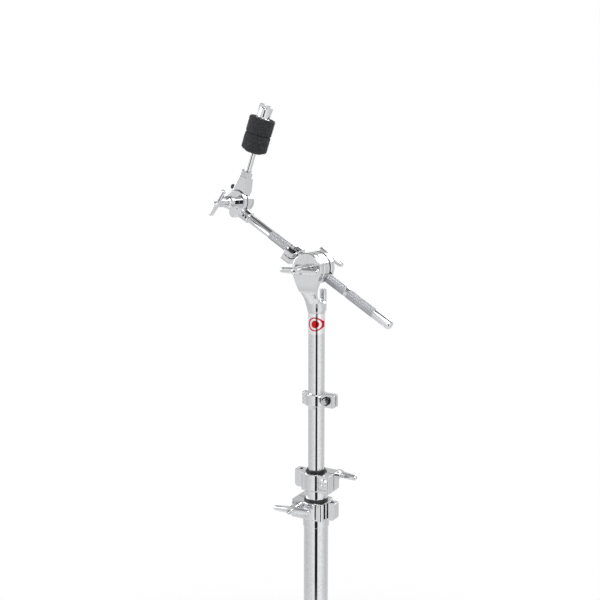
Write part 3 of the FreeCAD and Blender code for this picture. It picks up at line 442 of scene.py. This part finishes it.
def make_felt_fuzz():
    """The felt itself with short fibres standing on it, leaning every way."""
    tree, start, end = shape_tree("felt_fuzz", [
        ("Density", FLOAT, 1000000.0), ("Fibre Length", FLOAT, 0.0009),
        ("Fibre Width", FLOAT, 0.00005), ("Lean", FLOAT, 1.2), ("Seed", WHOLE, 3),
        ("Finish", FINISH, None)])
    given = start.outputs
    spread = new_node(tree, "GeometryNodeDistributePointsOnFaces")
    link(tree, given["Geometry"], spread.inputs["Mesh"])
    link(tree, given["Density"], spread.inputs["Density"])
    link(tree, given["Seed"], spread.inputs["Seed"])
    fibre = new_node(tree, "GeometryNodeMeshCone")
    fibre.inputs["Vertices"].default_value = 3
    fibre.inputs["Radius Top"].default_value = 0.0
    link(tree, given["Fibre Width"], fibre.inputs["Radius Bottom"])
    link(tree, given["Fibre Length"], fibre.inputs["Depth"])
    least = new_node(tree, "ShaderNodeCombineXYZ")
    most = new_node(tree, "ShaderNodeCombineXYZ")
    back = math_node(tree, "MULTIPLY", given["Lean"], -1.0)
    for index in (0, 1):
        link(tree, back, least.inputs[index])
        link(tree, given["Lean"], most.inputs[index])
    lean = new_node(tree, "FunctionNodeRandomValue", data_type="FLOAT_VECTOR")
    link(tree, least.outputs[0], lean.inputs[0])
    link(tree, most.outputs[0], lean.inputs[1])
    link(tree, given["Seed"], lean.inputs["Seed"])
    planted = new_node(tree, "GeometryNodeInstanceOnPoints")
    link(tree, spread.outputs["Points"], planted.inputs["Points"])
    link(tree, fibre.outputs["Mesh"], planted.inputs["Instance"])
    link(tree, spread.outputs["Rotation"], planted.inputs["Rotation"])
    leaned = new_node(tree, "GeometryNodeRotateInstances")
    link(tree, planted.outputs[0], leaned.inputs["Instances"])
    link(tree, lean.outputs[0], leaned.inputs["Rotation"])
    both = new_node(tree, "GeometryNodeJoinGeometry")
    link(tree, given["Geometry"], both.inputs[0])
    link(tree, leaned.outputs[0], both.inputs[0])
    finish_tree(tree, both.outputs[0], start, end)
    return tree


CUT_ROD = make_cut_rod()
FELT_FUZZ = make_felt_fuzz()


def shaped(name, tree, mesh=None, **values):
    """Plain mesh object made by a shape tree, with its inputs set by socket identifier."""
    maker = bpy.data.objects.new(name + "_maker", mesh or bpy.data.meshes.new(name + "_start"))
    scene.collection.objects.link(maker)
    modifier = maker.modifiers.new("shape", "NODES")
    modifier.node_group = tree
    sockets = {item.name: item.identifier for item in tree.interface.items_tree
               if item.in_out == "INPUT"}
    for label, value in values.items():
        modifier[sockets[label.replace("_", " ")]] = value
    graph = bpy.context.evaluated_depsgraph_get()
    made = bpy.data.meshes.new_from_object(maker.evaluated_get(graph))
    bpy.data.objects.remove(maker)
    made.name = name
    piece = bpy.data.objects.new(name, made)
    scene.collection.objects.link(piece)
    return piece


def lathe(name, profile, steps=96):
    """Closed bar turned about X from a (place, radius) profile that starts and ends on the axis."""
    mesh = bpy.data.meshes.new(name)
    points = [(profile[0][0], 0.0, 0.0)]
    for place, radius in profile[1:-1]:
        points += [(place, radius * math.cos(2 * math.pi * k / steps),
                    radius * math.sin(2 * math.pi * k / steps)) for k in range(steps)]
    points.append((profile[-1][0], 0.0, 0.0))
    last_ring = 1 + steps * (len(profile) - 3)
    faces = []
    for k in range(steps):
        after = (k + 1) % steps
        faces.append((0, 1 + after, 1 + k))
        for row in range(len(profile) - 3):
            low = 1 + row * steps
            faces.append((low + k, low + after, low + steps + after, low + steps + k))
        faces.append((last_ring + k, last_ring + after, len(points) - 1))
    mesh.from_pydata(points, [], faces)
    turn_faces_out(mesh)
    piece = bpy.data.objects.new(name, mesh)
    scene.collection.objects.link(piece)
    return piece


def turn_faces_out(mesh):
    """Merges doubled corners and points every face outwards."""
    work = bmesh.new()
    work.from_mesh(mesh)
    bmesh.ops.remove_doubles(work, verts=work.verts, dist=0.000001)
    bmesh.ops.recalc_face_normals(work, faces=work.faces)
    work.to_mesh(mesh)
    work.free()


def smooth_over(mesh, degrees):
    """Smooth shading, with edges sharper than this kept crisp."""
    mesh.polygons.foreach_set("use_smooth", [True] * len(mesh.polygons))
    mesh.set_sharp_from_angle(angle=math.radians(degrees))


def line_frame(origin, direction):
    """Places a bar made along X on a line: its start at origin, running along direction."""
    turn = Vector((1, 0, 0)).rotation_difference(Vector(direction).normalized())
    return Matrix.Translation(Vector(origin)) @ turn.to_matrix().to_4x4()


# ---- boom rod: plain ends, and diamond knurling in two lengths -------------------------------
# Places run down the rod from the middle of the clutch, in millimetres.
boom_down = Vector(joints["boom_turn"]["axis"])
boom_middle = Vector(joints["boom_turn"]["pos_m"])
ROD_START, ROD_END = -110.1, 109.8
KNURL_RUNS = ((-68.8, 45.1), (47.9, 86.0))
ROD_R, END_R = 5.15, 5.4
KNURL_R, KNURL_CUT = 5.58, 0.22
KNURL_STARTS, KNURL_PITCH = 24, 1.9
KNURL_STEPS_ROUND = 4 * KNURL_STARTS + 1
KNURL_STEP = 0.38
CRISP_EDGE = 35                # degrees past which a turned edge stays crisp


def boom_rod():
    core = KNURL_R - KNURL_CUT + 0.02
    knurl_start, knurl_end = KNURL_RUNS[0][0], KNURL_RUNS[1][1]
    plain = [(ROD_START, 0), (ROD_START, ROD_R), (knurl_start - 0.4, ROD_R), (knurl_start, core),
             (knurl_end, core), (knurl_end + 0.4, END_R), (ROD_END - 3.6, END_R),
             (ROD_END - 2.4, 5.1), (ROD_END - 1.3, 4.5), (ROD_END - 0.5, 3.5),
             (ROD_END - 0.1, 2.4), (ROD_END, 1.6), (ROD_END, 0)]
    place = line_frame(boom_middle, boom_down)
    rod = lathe("boom_rod_plain", [(u * MM, r * MM) for u, r in plain])
    rod.data.transform(place)
    smooth_over(rod.data, CRISP_EDGE)
    rod.data.materials.append(MATERIALS["chrome_tube"])
    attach(rod, "boom")
    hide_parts("boom_rod")
    for number, (low, high) in enumerate(KNURL_RUNS, 1):
        knurl = shaped("boom_knurl_%d" % number, CUT_ROD, Length=(high - low) * MM,
                       Radius=KNURL_R * MM, Depth=KNURL_CUT * MM, Starts=float(KNURL_STARTS),
                       Pitch=KNURL_PITCH * MM, Crossed=1.0, Steps_Around=KNURL_STEPS_ROUND,
                       Steps_Along=int((high - low) / KNURL_STEP),
                       Finish=MATERIALS["knurled_steel"])
        knurl.data.transform(place @ Matrix.Translation((low * MM, 0, 0)))
        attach(knurl, "boom")


# ---- cymbal rod: plain shank and threaded top --------------------------------------------------
# Places run up the rod from the tilter's axis, in millimetres.
THREAD_PITCH = 1.25
THREAD_DEPTH = 0.66


def cymbal_rod():
    up = Vector(joints["cymbal_wing_nut_turn"]["axis"]).normalized()
    pivot = Vector(joints["tilter_tilt"]["pos_m"])
    start, thread_start, end = 19.9, 92.0, 110.1
    shank_r, core_r, thread_r = 4.0, 3.3, 3.95
    plain = [(start, 0), (start, shank_r), (thread_start, shank_r), (thread_start + 0.5, core_r),
             (end - 0.6, core_r), (end, core_r - 0.7), (end, 0)]
    place = line_frame(pivot, up)
    rod = lathe("cymbal_rod_plain", [(s * MM, r * MM) for s, r in plain], 64)
    rod.data.transform(place)
    smooth_over(rod.data, CRISP_EDGE)
    rod.data.materials.append(MATERIALS["chrome_tube"])
    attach(rod, "tilter_head")
    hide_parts("cymbal_rod")
    thread = shaped("cymbal_rod_thread", CUT_ROD, Length=(end - thread_start - 0.4) * MM,
                    Radius=thread_r * MM, Depth=THREAD_DEPTH * MM, Starts=1.0,
                    Pitch=THREAD_PITCH * MM, Crossed=0.0, Steps_Around=49, Steps_Along=110,
                    Finish=MATERIALS["bright_steel"])
    thread.data.transform(place @ Matrix.Translation(((thread_start + 0.2) * MM, 0, 0)))
    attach(thread, "tilter_head")


# ---- felts: the pressed wool with its fibres ---------------------------------------------------
def fuzzy_felt(node, seed):
    """Stands for a felt node: its own shape, with fibres of up to about a millimetre on it."""
    base = nodes[node].data.copy()
    turn_faces_out(base)
    felt = shaped(node + "_wool", FELT_FUZZ, base, Density=1400000.0, Fibre_Length=0.0011,
                  Fibre_Width=0.00004, Lean=1.1, Seed=seed, Finish=MATERIALS["felt"])
    smooth_over(felt.data, 40)
    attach(felt, "tilter_head")
    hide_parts(node)


boom_rod()
cymbal_rod()
fuzzy_felt("lower_felt", 4)
fuzzy_felt("upper_felt", 9)


# ---- studio ---------------------------------------------------------------------------
def ramp(tree, value, stops):
    node = new_node(tree, "ShaderNodeValToRGB")
    elements = node.color_ramp.elements
    while len(elements) < len(stops):
        elements.new(0.5)
    for element, (place, grey) in zip(elements, stops):
        element.position = place
        element.color = (grey, grey, grey, 1.0)
    link(tree, value, node.inputs["Fac"])
    return node.outputs["Color"]


CAMERA_TURN = 29.0             # degrees round the stand, and the tent's slot with it
CAMERA_DOWN = 8.5
CAMERA_PLACE = (0.4704, -0.8874, 0.9696)
LIGHTS_AIM = (0.0, 0.0, 0.75)
FLOOR_R = 1.1
FLOOR_FADE = (0.45, 1.05)      # the floor fades out between these distances

# Round the tent, in degrees from its slot: (angle, brightness).  The slot is at the front.
AROUND = ((-180, 0.80), (-140, 0.70), (-106, 0.66), (-68, 0.74), (-37, 0.87), (-14.5, 1.0),
          (-11.5, 0.015), (11.5, 0.015), (14.5, 0.97), (46, 1.0), (70, 0.80), (97, 0.66),
          (125, 0.72), (180, 0.80))
# From straight down (-1) to straight up (1), as the sine of the height: brightness.
UPWARDS = ((-1.0, 0.80), (-0.5, 0.95), (-0.1, 1.0), (0.1, 1.0), (0.28, 0.84), (0.5, 0.64),
           (0.8, 0.42), (1.0, 0.34))


def tent_world():
    """White tent with a dark slot at the front and a dimmer top; the camera sees plain white."""
    world = bpy.data.worlds.new("tent")
    scene.world = world
    world.use_nodes = True
    tree = world.node_tree
    tree.nodes.clear()
    parts = new_node(tree, "ShaderNodeSeparateXYZ")
    link(tree, new_node(tree, "ShaderNodeTexCoord").outputs["Generated"], parts.inputs[0])
    front = math_node(tree, "MULTIPLY", parts.outputs["Y"], -1.0)
    angle = math_node(tree, "ARCTAN2", parts.outputs["X"], front)
    turned = math_node(tree, "SUBTRACT", angle, math.radians(CAMERA_TURN))
    wrapped = new_node(tree, "ShaderNodeMath", operation="WRAP")
    link(tree, turned, wrapped.inputs[0])
    wrapped.inputs[1].default_value = math.pi
    wrapped.inputs[2].default_value = -math.pi
    place = remap(tree, wrapped.outputs[0], -math.pi, math.pi, 0.0, 1.0)
    around = ramp(tree, place, [((degrees + 180) / 360, grey) for degrees, grey in AROUND])
    height = remap(tree, parts.outputs["Z"], -1.0, 1.0, 0.0, 1.0)
    upwards = ramp(tree, height, [((sine + 1) / 2, grey) for sine, grey in UPWARDS])
    both = new_node(tree, "ShaderNodeMix", data_type="RGBA", blend_type="MULTIPLY")
    both.inputs[0].default_value = 1.0
    link(tree, around, both.inputs[6])
    link(tree, upwards, both.inputs[7])
    lit = new_node(tree, "ShaderNodeBackground")
    link(tree, both.outputs[2], lit.inputs["Color"])
    plain = new_node(tree, "ShaderNodeBackground")
    plain.inputs["Color"].default_value = (1, 1, 1, 1)
    chosen = new_node(tree, "ShaderNodeMixShader")
    link(tree, new_node(tree, "ShaderNodeLightPath").outputs["Is Camera Ray"], chosen.inputs[0])
    link(tree, lit.outputs[0], chosen.inputs[1])
    link(tree, plain.outputs[0], chosen.inputs[2])
    output = new_node(tree, "ShaderNodeOutputWorld")
    link(tree, chosen.outputs[0], output.inputs["Surface"])


def pale_floor():
    """Matt white disc under the stand, fading out before it reaches the tent."""
    mesh = bpy.data.meshes.new("floor")
    corners = [(FLOOR_R * math.cos(math.radians(a)), FLOOR_R * math.sin(math.radians(a)), 0)
               for a in range(0, 360, 6)]
    mesh.from_pydata(corners, [], [tuple(range(len(corners)))])
    floor = bpy.data.objects.new("floor", mesh)
    scene.collection.objects.link(floor)
    material, tree, shader, vector = start_material("floor_paint")
    shader.inputs["Roughness"].default_value = 0.85
    shader.inputs["Specular IOR Level"].default_value = 0.2
    shader.inputs["Base Color"].default_value = (0.95, 0.95, 0.95, 1)
    distance = new_node(tree, "ShaderNodeVectorMath", operation="LENGTH")
    link(tree, vector, distance.inputs[0])
    fade = new_node(tree, "ShaderNodeMapRange", interpolation_type="SMOOTHSTEP")
    for index, number in ((1, FLOOR_FADE[0]), (2, FLOOR_FADE[1]), (3, 0.0), (4, 1.0)):
        fade.inputs[index].default_value = number
    link(tree, distance.outputs["Value"], fade.inputs[0])
    clear = new_node(tree, "ShaderNodeBsdfTransparent")
    chosen = new_node(tree, "ShaderNodeMixShader")
    link(tree, fade.outputs[0], chosen.inputs[0])
    link(tree, shader.outputs[0], chosen.inputs[1])
    link(tree, clear.outputs[0], chosen.inputs[2])
    link(tree, chosen.outputs[0], tree.nodes["Material Output"].inputs["Surface"])
    mesh.materials.append(material)


def studio_lights():
    """Three soft lamps aimed at the middle of the stand: (name, place, size, watts)."""
    for label, place, size, power in (
            ("key", (1.2, -1.8, 2.6), 1.6, 40.0),
            ("fill", (-2.2, -1.0, 1.6), 1.8, 26.0),
            ("back", (0.4, 2.4, 2.4), 1.8, 30.0)):
        data = bpy.data.lights.new(label, "AREA")
        data.size = size
        data.energy = power
        lamp = bpy.data.objects.new(label, data)
        lamp.location = place
        aim = Vector(LIGHTS_AIM) - Vector(place)
        lamp.rotation_euler = aim.to_track_quat("-Z", "Y").to_euler()
        scene.collection.objects.link(lamp)


def studio_camera():
    data = bpy.data.cameras.new("camera")
    data.lens = 54.0
    data.sensor_width = 36.0
    camera = bpy.data.objects.new("camera", data)
    camera.location = CAMERA_PLACE
    camera.rotation_euler = (math.radians(90.0 - CAMERA_DOWN), 0.0, math.radians(CAMERA_TURN))
    data.clip_start = 0.05
    scene.collection.objects.link(camera)
    scene.camera = camera


tent_world()
pale_floor()
studio_lights()
studio_camera()
scene.view_settings.view_transform = "Standard"
